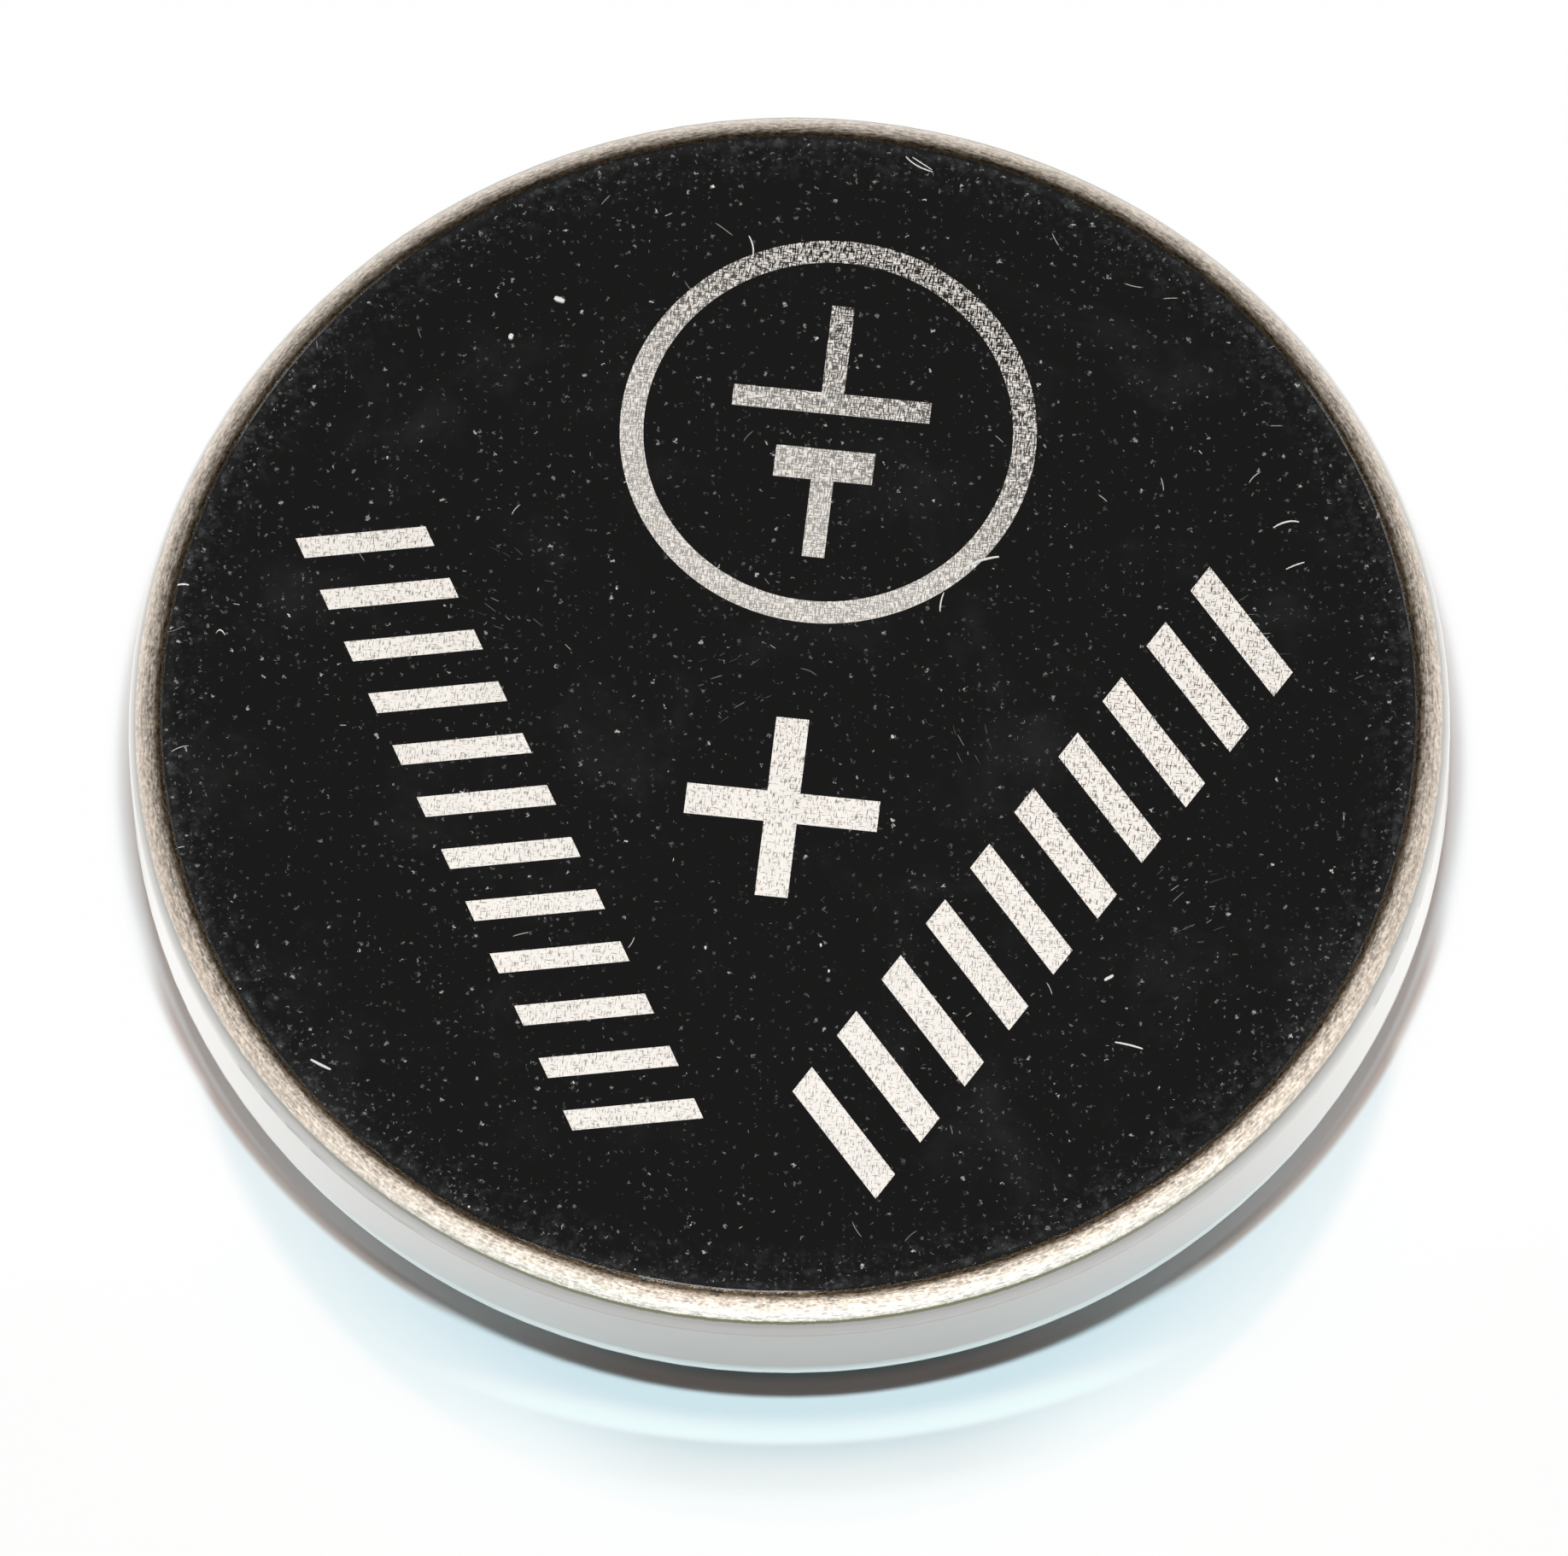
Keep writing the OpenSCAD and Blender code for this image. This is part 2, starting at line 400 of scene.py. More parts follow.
def make_patches_group():
    """Soft uneven patches."""
    inputs, ends = new_group(
        "Haze patches",
        {"Place": None, "Size": 3.0, "Low": 0.5, "High": 0.8, "Seed": 0.0}, ["Mask"])
    moved = vector_maths("ADD", inputs["Place"],
                         combine(inputs["Seed"], inputs["Seed"], inputs["Seed"]))
    cloud = add_node("ShaderNodeTexNoise",
                     {"Vector": moved, "Scale": maths("DIVIDE", 1.0, inputs["Size"]),
                      "Detail": 6.0, "Roughness": 0.66, "Distortion": 0.3}).outputs[0]
    fill_socket(ends["Mask"], map_range(cloud, inputs["Low"], inputs["High"]))


def make_grain_group():
    """Grain of worked metal, drawn out round the cell's axis by Stretch."""
    inputs, ends = new_group(
        "Metal grain", {"Place": None, "Grain": 0.05, "Stretch": 1.0}, ["Mask", "Height"])
    flattened, height = flat_place(inputs["Place"])
    around = vector_maths("NORMALIZE", flattened)
    lap = maths("DIVIDE", CELL_RADIUS / MM, product(inputs["Grain"], inputs["Stretch"]))
    rise = maths("DIVIDE", height, inputs["Grain"])
    place = vector_maths("ADD", scaled(around, lap), combine(0.0, 0.0, rise))
    outwards = maths("DIVIDE", distance(flattened), inputs["Grain"])
    grain = add_node("ShaderNodeTexNoise", {"Vector": place, "W": outwards, "Scale": 1.0,
                                            "Detail": 2.0, "Roughness": 0.6},
                     noise_dimensions="4D").outputs[0]
    fill_socket(ends["Mask"], map_range(grain, 0.35, 0.65))
    fill_socket(ends["Height"], grain)


def make_etching_group():
    """Short dark dashes along and across the etching's lines. Mask is 1 where it is bright."""
    inputs, ends = new_group(
        "Etched lines",
        {"Place": None, "Line": 0.026, "Dash": 0.15, "Low": 0.35, "High": 0.55, "Turn": 0.0},
        ["Mask", "Height"])
    turned = add_node("ShaderNodeVectorRotate",
                      {"Vector": inputs["Place"], "Angle": inputs["Turn"]},
                      rotation_type="Z_AXIS").outputs[0]
    parts = split(turned)
    thin = [maths("DIVIDE", part, inputs["Line"]) for part in (parts[0], parts[1])]
    long = [maths("DIVIDE", part, inputs["Dash"]) for part in (parts[0], parts[1])]
    upright = noise(combine(thin[0], long[1], 0.0), 1.0, detail=1.0)
    level = noise(combine(long[0], thin[1], 7.0), 1.0, detail=1.0)
    lowest = maths("MINIMUM", upright, total(level, 0.03))
    fill_socket(ends["Mask"], map_range(lowest, inputs["Low"], inputs["High"]))
    fill_socket(ends["Height"], lowest)


def make_shared_effects():
    """Build each shared node group once."""
    make_specks_group()
    make_hairs_group()
    make_patches_group()
    make_grain_group()
    make_etching_group()


# Materials

def cleared_tree(owner):
    """Empty node tree of a material or of the world."""
    owner.use_nodes = True
    owner.node_tree.nodes.clear()
    return owner.node_tree


def link_output(kind, surface):
    """Output node with its surface linked."""
    fill_socket(source_node(surface.id_data, kind).inputs["Surface"], surface)


def new_material(name):
    """Empty node material. Returns it, its shader and the place in millimetres."""
    material = bpy.data.materials.new(name)
    tree = cleared_tree(material)
    shader = source_node(tree, "ShaderNodeBsdfPrincipled")
    link_output("ShaderNodeOutputMaterial", shader.outputs[0])
    place = source_node(tree, "ShaderNodeTexCoord").outputs["Object"]
    return material, shader, scaled(place, 1 / MM)


def fill_shader(shader, colour, roughness, metallic, height, strength, relief):
    """Give a shader its looks, with a relief of so many millimetres that follows a height."""
    bump = add_node("ShaderNodeBump",
                    {"Height": height, "Strength": strength, "Distance": relief * MM})
    for name, value in (("Base Color", colour), ("Roughness", roughness),
                        ("Metallic", metallic), ("Normal", bump.outputs[0])):
        fill_socket(shader.inputs[name], value)


def dimmed(colour, factor):
    """Colour made darker by a factor."""
    return tuple(factor * part for part in colour)


def dust_mask(place, thick):
    """All the dust on the face: mist, fine and coarse specks and hairs, more where it is thick."""
    many = maths("MULTIPLY_ADD", thick, 0.50, 0.28)
    some = maths("MULTIPLY_ADD", thick, 0.40, 0.42)
    mist = mask_of("Dust specks", place, Spacing=0.13, Size=0.040, Share=many, Seed=11.9)
    fine = mask_of("Dust specks", place, Spacing=0.34, Size=0.052, Share=some, Seed=3.7)
    coarse = mask_of("Dust specks", place, Spacing=1.0, Size=0.052, Share=0.25, Seed=21.3)
    hairs = mask_of("Hair scratches", place, Spacing=1.25, Length=0.5, Width=0.011,
                    Bow=2.4, Share=0.16, Seed=8.1)
    return highest(product(mist, 0.26), product(fine, 0.50), coarse, product(hairs, 0.6))


def scuff_mask(place):
    """Groups of short parallel scuffs at a few places on the face."""
    # Centre, reach and direction of each group
    groups = (((-1.0, 0.5), 0.95, 36), ((3.3, -0.8), 0.6, 98), ((-4.9, 2.6), 1.3, -28),
              ((7.2, -4.2), 1.2, 24), ((8.6, 1.2), 1.1, 18))
    masks = []
    for number, (centre, reach, direction) in enumerate(groups):
        strokes = mask_of("Hair scratches", place, Spacing=0.3, Length=0.34, Width=0.009,
                          Turn=math.radians(direction), Spread=0.7, Bow=0.8, Share=0.5,
                          Seed=4.4 + number)
        away = distance(place, (*centre, CELL_HEIGHT / MM))
        masks.append(product(strokes, map_range(away, reach, 0.2)))
    strength = 0.50
    return product(highest(*masks), strength)


def face_radius():
    """Radius of the flat positive face, from the vertices that lie at the can's top."""
    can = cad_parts["positive_can"].data
    level = CELL_HEIGHT - 0.001 * MM
    return max(Vector(v.co[:2]).length for v in can.vertices if v.co.z > level)


def can_zones(place, radius, height):
    """Masks of the polished face, the satin bend and the line under it, and depth down the bend."""
    finish = settings("cell_finish")
    coarse = less(noise(place, 0.13), 0.5)
    frost = less(noise(place, 0.035, detail=1.0), 0.5)
    ragged = total(product(coarse, 0.03), product(frost, 0.02))
    frosted = total(product(coarse, 0.05), product(frost, 0.14))
    edge = (face_radius() + finish.polish_past_face) / MM
    top = CELL_HEIGHT / MM
    satin_low = top - finish.rim_drop / MM
    line_low = satin_low - finish.rim_line / MM
    # Half the width over which one finish gives way to the next
    edge_blur, satin_blur, line_blur = 0.03, 0.012, 0.015
    outside = map_range(total(radius, frosted), edge - edge_blur, edge + edge_blur)
    level = total(height, ragged)
    below_satin = map_range(level, satin_low + satin_blur, satin_low - satin_blur)
    below_line = map_range(level, line_low + line_blur, line_low - line_blur)
    on_top = map_range(height, top - 0.12, top - 0.05)
    face = product(opposite(outside), on_top)
    satin = product(opposite(below_satin), opposite(face))
    line = product(below_satin, opposite(below_line))
    depth = map_range(height, top - 0.02, satin_low)
    return face, satin, line, depth


def face_layers(place, radius, face):
    """What lies on the polish: greasy film, the haze of the film and of the face's edge, dust."""
    flat = face_radius() / MM
    patches = mask_of("Haze patches", place, Size=2.6, Low=0.5, High=0.8, Seed=5.0)
    streaks = mask_of("Haze patches", place, Size=0.22, Low=0.46, High=0.75, Seed=1.5)
    border = ramps((radius, flat - 1.1, flat - 0.35), (radius, flat + 0.02, flat - 0.08))
    film = product(highest(product(patches, 0.5), product(border, streaks)), face)
    brim = product(ramps((radius, flat - 0.26, flat - 0.08),
                         (radius, flat + 0.02, flat - 0.06, 0.35, 1.0)),
                   mix_values(streaks, 0.15, 1.0), face)
    haze = total(product(film, 0.035), product(brim, 0.07))
    thick = total(product(patches, 0.5), product(border, 0.8), clamp=True)
    dust = highest(dust_mask(place, thick), scuff_mask(place))
    return film, haze, product(dust, face)


def satin_rim(place, radius, depth):
    """Satin nickel of the bend: its colour, with painted shade where it leaves the face and painted
    glints, its grain, and the height of its relief.
    """
    finish, flat = settings("cell_finish"), face_radius() / MM
    strands = use_group("Metal grain", Place=place, Grain=0.038, Stretch=7.0)
    speckle = use_group("Metal grain", Place=place, Grain=0.055, Stretch=1.6)
    grain = mix_values(0.5, strands["Mask"], speckle["Mask"])
    # Painted shade: the bend is painted dark where it leaves the face, turning to the satin colour
    # further out. Its grain is darker near the face and paler further down.
    turned = map_range(radius, flat + 0.07, flat + 0.225)
    tone = scaled(mix_colours(turned, finish.rim_shaded_start_colour, finish.rim_colour),
                  mix_values(grain, mix_values(depth, 0.28, 0.60), 1.06))
    # Painted glints: bright specks are put into the colour where the grain stands highest, outside
    # the painted shade of the bend's start.
    glints, glint_colour = map_range(speckle["Height"], 0.60, 0.70), (1.0, 0.97, 0.94)
    tone = mix_colours(product(glints, turned, 0.6), tone, glint_colour)
    # The relief lies about its own middle, so that the border of the satin is no step
    raised = less(total(strands["Height"], speckle["Height"]), 1.0)
    return tone, grain, raised


def smooth_wall(height, drawn):
    """Colour of the smooth nickel, with a painted reflection that makes it paler where the view
    glances along it.
    """
    finish = settings("cell_finish")
    tone = mix_colours(drawn, dimmed(finish.wall_colour, 0.95), finish.wall_colour)
    glance = source_node(height.id_data, "ShaderNodeLayerWeight").outputs["Facing"]
    # The painted reflection on the bend's smooth part starts sooner than on the wall, and grows more
    # slowly
    bend_low, bend_rise = CELL_HEIGHT / MM - 0.65, 0.23
    bent = maths("DIVIDE", less(height, bend_low), bend_rise, clamp=True)
    start, steepness = mix_values(bent, 0.598, 0.24), mix_values(bent, 3.4, 1.35)
    glance = maths("MULTIPLY", less(glance, start), steepness, clamp=True)
    return mix_colours(glance, tone, finish.wall_glance_sheen_colour)


def can_material():
    """Steel of the can: polished face with dust, satin bend and smooth wall, by where each lies."""
    finish = settings("cell_finish")
    material, shader, place = new_material("can_steel_finish")
    flattened, height = flat_place(place)
    radius = distance(flattened)
    face, satin, line, depth = can_zones(place, radius, height)
    film, haze, dust = face_layers(place, radius, face)
    rim_tone, grain, raised = satin_rim(place, radius, depth)
    drawn = mask_of("Metal grain", place, Grain=0.05, Stretch=30.0)

    # The line fades from the front of the cell to its sides
    sideways = maths("ABSOLUTE", split(place)[0])
    fading = map_range(sideways, 3.0, 11.5, 0.95, 0.15)
    base = mix_colours(satin, smooth_wall(height, drawn), rim_tone)
    for share, tone in ((product(line, fading), finish.rim_line_colour),
                        (face, finish.face_colour),
                        (product(film, 0.7), finish.film_colour),
                        (dust, finish.dust_colour)):
        base = mix_colours(share, base, tone)

    # The satin is rougher at its start and in its grain, and the wall in its fine lines
    satin_rough = total(mix_values(depth, 0.38, 0.30), product(less(grain, 0.5), 0.14))
    wall_rough = mix_values(drawn, 0.13, 0.18)
    face_rough, film_rough, dust_rough = 0.05, 0.10, 0.9
    rough = mix_values(face, mix_values(satin, wall_rough, satin_rough), face_rough)
    rough = mix_values(dust, total(rough, product(film, film_rough)), dust_rough)
    metallic = opposite(total(dust, haze, clamp=True))
    relief = product(raised, satin)
    fill_shader(shader, base, rough, metallic, relief, 0.8, 0.009)
    return material


# Kinds of etching, the sparse one for the marks at the back: between which heights its lines turn
# from dark to bright, the colour in the dark, and where towards the front left the dark fills up
ETCHINGS = {
    "dense": ((0.34, 0.45), (0.34, 0.30, 0.26), (5.0, -6.0, 0.1, 0.9)),
    "sparse": ((0.43, 0.54), (0.06, 0.055, 0.05), (10.2, 3.0, 0.0, 1.0)),
}


def mark_material(name, edge, ground, fill):
    """Etched marks: bright matt steel crossed by fine dark lines."""
    finish = settings("cell_finish")
    material, shader, place = new_material(name)
    lines = use_group("Etched lines", Place=place, Low=edge[0], High=edge[1],
                      Turn=-settings("cell_marks").turn)
    bright = lines["Mask"]
    cloud = mask_of("Haze patches", place, Size=1.6, Low=0.35, High=0.75, Seed=2.0)
    tone = mix_colours(cloud, finish.mark_colour, dimmed(finish.mark_colour, 0.94))
    parts = split(place)
    # Painted shade: the marks are painted darker towards the back of the cell, where the light falls
    # on them less brightly.
    tone = scaled(tone, map_range(parts[1], 9.0, -4.0, 0.93, 1.0))
    filled = map_range(maths("MULTIPLY_ADD", parts[0], 0.7, parts[1]), *fill)
    base = mix_colours(bright, mix_colours(filled, ground, tone), tone)
    fill_shader(shader, base, mix_values(bright, 0.2, 0.6),
                mix_values(bright, 0.6, 0.06), lines["Height"], 0.5, 0.008)
    return material


def shared_mark_material(kind):
    """Finish of the marks with one kind of etching, made when first asked for."""
    name = f"{kind}_etching_finish"
    return bpy.data.materials.get(name) or mark_material(name, *ETCHINGS[kind])


def cap_material():
    """Matt nickel of the cap, with fine grain and light contact scratches."""
    finish = settings("cell_finish")
    material, shader, place = new_material("cap_steel_finish")
    grain = use_group("Metal grain", Place=place, Grain=0.06, Stretch=1.5)
    scratches = mask_of("Hair scratches", place, Spacing=1.7, Length=1.5, Width=0.014,
                        Bow=0.3, Share=0.5, Seed=4.2)
    # The scratches are on the flat contact face only
    scratches = product(scratches, map_range(split(place)[2], 0.10, 0.02))
    base = mix_colours(grain["Mask"], dimmed(finish.cap_colour, 0.85), finish.cap_colour)
    bare_colour = (0.85, 0.84, 0.82)
    base = mix_colours(product(scratches, 0.5), base, bare_colour)
    rough = mix_values(scratches, mix_values(grain["Mask"], 0.28, 0.40), 0.2)
    fill_shader(shader, base, rough, 1.0, grain["Height"], 0.5, 0.005)
    return material


def plain_material(name, light, dark, size, roughness, metallic=0.0, relief=0.3):
    """Finish of an even substance: two tones and a relief, mottled at one size in millimetres."""
    material, shader, place = new_material(name)
    lumps = noise(place, size, detail=5.0)
    tone = map_range(lumps, 0.35, 0.65)
    rough = mix_values(tone, roughness, roughness * 0.8)
    fill_shader(shader, mix_colours(tone, dark, light), rough, metallic, lumps, relief, 0.02)
    return material


def dress_node(name, material):
    """Give a carried-over solid its finish."""
    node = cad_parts[name]
    node.data.materials.clear()
    node.data.materials.append(material)


# Marks and lint

def add_object(name, data):
    """New object in the scene."""
    thing = bpy.data.objects.new(name, data)
    bpy.context.scene.collection.objects.link(thing)
    return thing


def add_piece(name, shape, material):
    """Object from a bmesh, riding on the cell."""
    mesh = bpy.data.meshes.new(name)
    bmesh.ops.recalc_face_normals(shape, faces=shape.faces)
    shape.to_mesh(mesh)
    shape.free()
    mesh.materials.append(material)
    piece = add_object(name, mesh)
    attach(piece, BODY)
    return piece


def join_loops(shape, first, second):
    """Faces between two loops of as many points each."""
    for i, corner in enumerate(first):
        after = (i + 1) % len(first)
        shape.faces.new((corner, first[after], second[after], second[i]))


def add_plates(name, outlines, material):
    """Closed thin plate over each outline, turned with the marks and let into the face."""
    marks = settings("cell_marks")
    turn = Matrix.Rotation(marks.turn, 3, "Z")
    shape = bmesh.new()
    for outline in outlines:
        points = [turn @ Vector((x, y, 0)) for x, y in outline]
        bottom = [shape.verts.new((p.x, p.y, CELL_HEIGHT - marks.depth)) for p in points]
        top = [shape.verts.new((p.x, p.y, CELL_HEIGHT + marks.proud)) for p in points]
        shape.faces.new(top)
        shape.faces.new(bottom[::-1])
        join_loops(shape, bottom, top)
    return add_piece(name, shape, material)


def add_ring(name, material, steps=128):
    """Closed flat ring, let into the face."""
    marks = settings("cell_marks")
    centre = Matrix.Rotation(marks.turn, 3, "Z") @ Vector((*marks.ring_centre, 0))
    low, high = CELL_HEIGHT - marks.depth, CELL_HEIGHT + marks.proud
    section = ((marks.ring_inner, low), (marks.ring_outer, low),
               (marks.ring_outer, high), (marks.ring_inner, high))
    shape = bmesh.new()
    loops = []
    for step in range(steps):
        angle = 2 * math.pi * step / steps
        out = Vector((math.cos(angle), math.sin(angle), 0))
        loops.append([shape.verts.new(centre + r * out + Vector((0, 0, z))) for r, z in section])
    for step, loop in enumerate(loops):
        join_loops(shape, loop, loops[(step + 1) % steps])
    return add_piece(name, shape, material)


def bar_outline(x, y, width, height):
    """Rectangle about a centre."""
    w, h = width / 2, height / 2
    return [(x - w, y - h), (x + w, y - h), (x + w, y + h), (x - w, y + h)]


def plus_outline(centre, length, width):
    """The twelve corners of a plus sign."""
    x, y = centre
    a, b = length / 2, width / 2
    arm = [(b, -b), (a, -b), (a, b)]
    corners = []
    for quarter in range(4):
        c, s = round(math.cos(quarter * math.pi / 2)), round(math.sin(quarter * math.pi / 2))
        corners += [(x + c * u - s * v, y + s * u + c * v) for u, v in arm]
    return corners


def tee_outline(plate, x, stroke, end):
    """Plate of the circuit symbol with its lead up or down to the symbol's end."""
    low_left, low_right, high_right, high_left = plate
    left, right = x - stroke / 2, x + stroke / 2
    high, low = high_left[1], low_left[1]
    if end > high:
        lead = [(right, high), (right, end), (left, end), (left, high)]
        return [low_left, low_right, high_right, *lead, high_left]
    lead = [(left, low), (left, end), (right, end), (right, low)]
    return [low_left, *lead, low_right, high_right, high_left]


def leaning_row(count, pitch, height, stroke, slant, direction, chord):
    """Outlines of a row of leaning bars along a chord that lies in one direction from the axis."""
    lean = height / 2 * math.tan(slant)
    out = Vector((math.cos(direction), math.sin(direction)))
    along = Vector((-out.y, out.x))
    low, high = -height / 2, height / 2
    bar = ((-stroke / 2 - lean, low), (stroke / 2 - lean, low),
           (stroke / 2 + lean, high), (-stroke / 2 + lean, high))
    outlines = []
    for i in range(count):
        middle = (i - (count - 1) / 2) * pitch
        outlines.append([tuple(out * (chord - v) + along * (middle + u)) for u, v in bar])
    return outlines


# Fibres and grains on the face: start, middle and end in millimetres, and half their width
FIBRES = (
    ((-0.47, 9.68), (-0.37, 9.42), (-0.38, 9.16), 0.014),
    ((4.11, 2.93), (3.68, 2.87), (3.30, 2.70), 0.022),
    ((2.98, 2.30), (2.89, 2.05), (2.87, 1.80), 0.013),
    ((2.50, 11.20), (2.75, 10.93), (3.15, 10.76), 0.012),
    ((2.60, 11.16), (2.86, 10.96), (3.07, 10.80), 0.010),
    ((5.71, -6.87), (6.05, -6.95), (6.38, -7.07), 0.018),
    ((9.02, 3.26), (9.36, 3.43), (9.66, 3.39), 0.016),
    ((9.25, 2.44), (9.49, 2.55), (9.71, 2.61), 0.012),
    ((-9.08, -6.64), (-8.84, -6.79), (-8.60, -6.92), 0.026),
    ((-11.29, 2.92), (-11.15, 2.94), (-11.01, 2.91), 0.018),
    ((-10.59, 1.88), (-10.48, 1.99), (-10.37, 1.82), 0.014),
    ((5.62, -5.66), (5.73, -5.60), (5.84, -5.54), 0.030),
    ((-4.12, 8.50), (-4.01, 8.45), (-3.88, 8.39), 0.050),
    ((-4.98, 7.75), (-4.93, 7.73), (-4.88, 7.71), 0.060),
    ((0.42, -4.75), (0.44, -4.75), (0.47, -4.75), 0.034),
    ((0.55, -5.27), (0.57, -5.27), (0.60, -5.28), 0.030),
    ((-1.71, -4.72), (-1.69, -4.72), (-1.66, -4.72), 0.034),
)


def add_fibre(shape, start, middle, end, width, steps=8, sides=7):
    """Closed flattened thread along a bent line, thinner at its ends, lying on the face."""
    start, middle, end = Vector((*start, 0)), Vector((*middle, 0)), Vector((*end, 0))
    control = middle * 2 - (start + end) / 2
    along = (end - start).normalized()
    across = Vector((-along.y, along.x, 0))
    up = Vector((0, 0, 1))
    # Height of its middle and half its thickness in half widths: its underside is just sunk in
    middle_height, half_thick, taper = 0.4, 0.5, 0.4
    rings = []
    for step in range(1, steps):
        t = step / steps
        centre = start * (1 - t) ** 2 + control * 2 * t * (1 - t) + end * t ** 2
        half = width * math.sin(math.pi * t) ** taper
        ring = []
        for side in range(sides):
            angle = 2 * math.pi * side / sides
            lift = half * (middle_height + half_thick * math.sin(angle))
            point = centre + across * half * math.cos(angle) + up * lift
            ring.append(shape.verts.new(point * MM + up * CELL_HEIGHT))
        rings.append(ring)
    for first, second in zip(rings, rings[1:]):
        join_loops(shape, first, second)
    shape.faces.new(rings[0])
    shape.faces.new(rings[-1])


# Operators, one for each piece or group of like pieces

class CELL_OT_can(bpy.types.Operator):
    """Finish the steel can: polished face, satin bend, smooth wall"""

    bl_idname = "coin_cell.can"
    bl_label = "Finish the can"

    def execute(self, context):
        dress_node("positive_can", can_material())
        return {"FINISHED"}


class CELL_OT_cap(bpy.types.Operator):
    """Finish the negative cap in matt nickel"""

    bl_idname = "coin_cell.cap"
    bl_label = "Finish the cap"

    def execute(self, context):
        dress_node("negative_cap", cap_material())
        return {"FINISHED"}


class CELL_OT_gasket(bpy.types.Operator):
    """Finish the moulded gasket"""

    bl_idname = "coin_cell.gasket"
    bl_label = "Finish the gasket"

    def execute(self, context):
        colour = tuple(settings("cell_finish").gasket_colour)
        dress_node("gasket", plain_material(
            "gasket_finish", colour, dimmed(colour, 0.9), 0.8, 0.45, relief=0.1))
        return {"FINISHED"}


class CELL_OT_electrodes(bpy.types.Operator):
    """Finish the pieces inside: pellet, collector, separator and lithium"""

    bl_idname = "coin_cell.electrodes"
    bl_label = "Finish the electrodes"

    def execute(self, context):
        dress_node("cathode_pellet", plain_material(
            "pellet_finish", (0.045, 0.045, 0.05), (0.015, 0.015, 0.018), 0.12, 0.9, relief=0.6))
        dress_node("cathode_collector", plain_material(
            "collector_finish", (0.60, 0.60, 0.60), (0.48, 0.48, 0.49), 0.2, 0.35, metallic=1.0))
        dress_node("separator", plain_material(
            "separator_finish", (0.88, 0.88, 0.86), (0.70, 0.70, 0.68), 0.05, 0.95, relief=0.8))
        dress_node("lithium_anode", plain_material(
            "lithium_finish", (0.60, 0.61, 0.64), (0.38, 0.39, 0.42), 1.1, 0.5, metallic=0.9))
        return {"FINISHED"}


class CELL_OT_plus(bpy.types.Operator):
    """Make the plus sign on the positive face"""

    bl_idname = "coin_cell.plus"
    bl_label = "Plus sign"

    def execute(self, context):
        marks = settings("cell_marks")
        outline = plus_outline(marks.plus_centre, marks.plus_length, marks.plus_width)
        add_plates("plus_sign", [outline], shared_mark_material("dense"))
        return {"FINISHED"}


class CELL_OT_ring(bpy.types.Operator):
    """Make the ring with the circuit symbol of a cell inside it"""

    bl_idname = "coin_cell.ring"
    bl_label = "Ring and cell symbol"

    def execute(self, context):
        marks = settings("cell_marks")
        add_ring("mark_ring", shared_mark_material("sparse"))
        x, y = marks.ring_centre
        stroke, gap, reach = marks.symbol_stroke, marks.symbol_gap, marks.symbol_height / 2
        thick = 1.5 * stroke
        long_plate = bar_outline(x, y + (gap + stroke) / 2, marks.symbol_width, stroke)
        short_plate = bar_outline(x, y - (gap + thick) / 2, marks.symbol_width / 2, thick)
        outlines = [tee_outline(long_plate, x, stroke, y + reach),
                    tee_outline(short_plate, x, stroke, y - reach)]
        add_plates("cell_symbol", outlines, shared_mark_material("sparse"))
        return {"FINISHED"}


class CELL_OT_rows(bpy.types.Operator):
    """Make the two rows of plain leaning bars"""

    bl_idname = "coin_cell.rows"
    bl_label = "Rows of bars"

    def execute(self, context):
        marks = settings("cell_marks")
        fine = leaning_row(marks.fine_count, marks.fine_pitch, marks.fine_height,
                           marks.fine_stroke, marks.slant, math.radians(210), marks.row_chord)
        bold = leaning_row(marks.bold_count, marks.bold_pitch, marks.bold_height,
                           marks.bold_stroke, marks.slant, math.radians(330), marks.row_chord)
        add_plates("fine_bars", fine, shared_mark_material("dense"))
        add_plates("bold_bars", bold, shared_mark_material("dense"))
        return {"FINISHED"}


class CELL_OT_lint(bpy.types.Operator):
    """Lay the loose fibres and grains on the positive face"""

    bl_idname = "coin_cell.lint"
    bl_label = "Lint"

    def execute(self, context):
        shape = bmesh.new()
        for fibre in FIBRES:
            add_fibre(shape, *fibre)
        colour = tuple(settings("cell_finish").dust_colour)
        add_piece("lint", shape, plain_material(
            "lint_finish", colour, dimmed(colour, 0.8), 0.03, 0.9))
        return {"FINISHED"}


class CELL_OT_stage(bpy.types.Operator):
    """Set up the table, lamps, surroundings and camera"""

    bl_idname = "coin_cell.stage"
    bl_label = "Stage"

    def execute(self, context):
        stage = settings("cell_stage")
        add_table(stage)
        # Each lamp's side, elevation in degrees and size in metres
        front, top = (-1, 76, (0.025, 0.008)), (1, 84, (0.28, 0.045))
        add_lamp(stage, "front_lamp", *front, stage.front_power, stage.front_colour)
        add_lamp(stage, "top_lamp", *top, stage.top_power, stage.top_colour)
        add_surroundings(stage)
        add_camera(stage)
        context.scene.view_settings.view_transform = "Standard"
        return {"FINISHED"}


def rays(tree, *kinds):
    """1 for rays of any of the kinds."""
    path = source_node(tree, "ShaderNodeLightPath").outputs
    return total(*(path[f"Is {kind} Ray"] for kind in kinds), clamp=True)


# How far behind the cell's axis the middle of each effect on the table lies. This and all other
# lengths on the table are in millimetres.
MIDDLES = {"cell": 0.0, "white": -0.6, "edge": 0.9, "arc": 3.3}


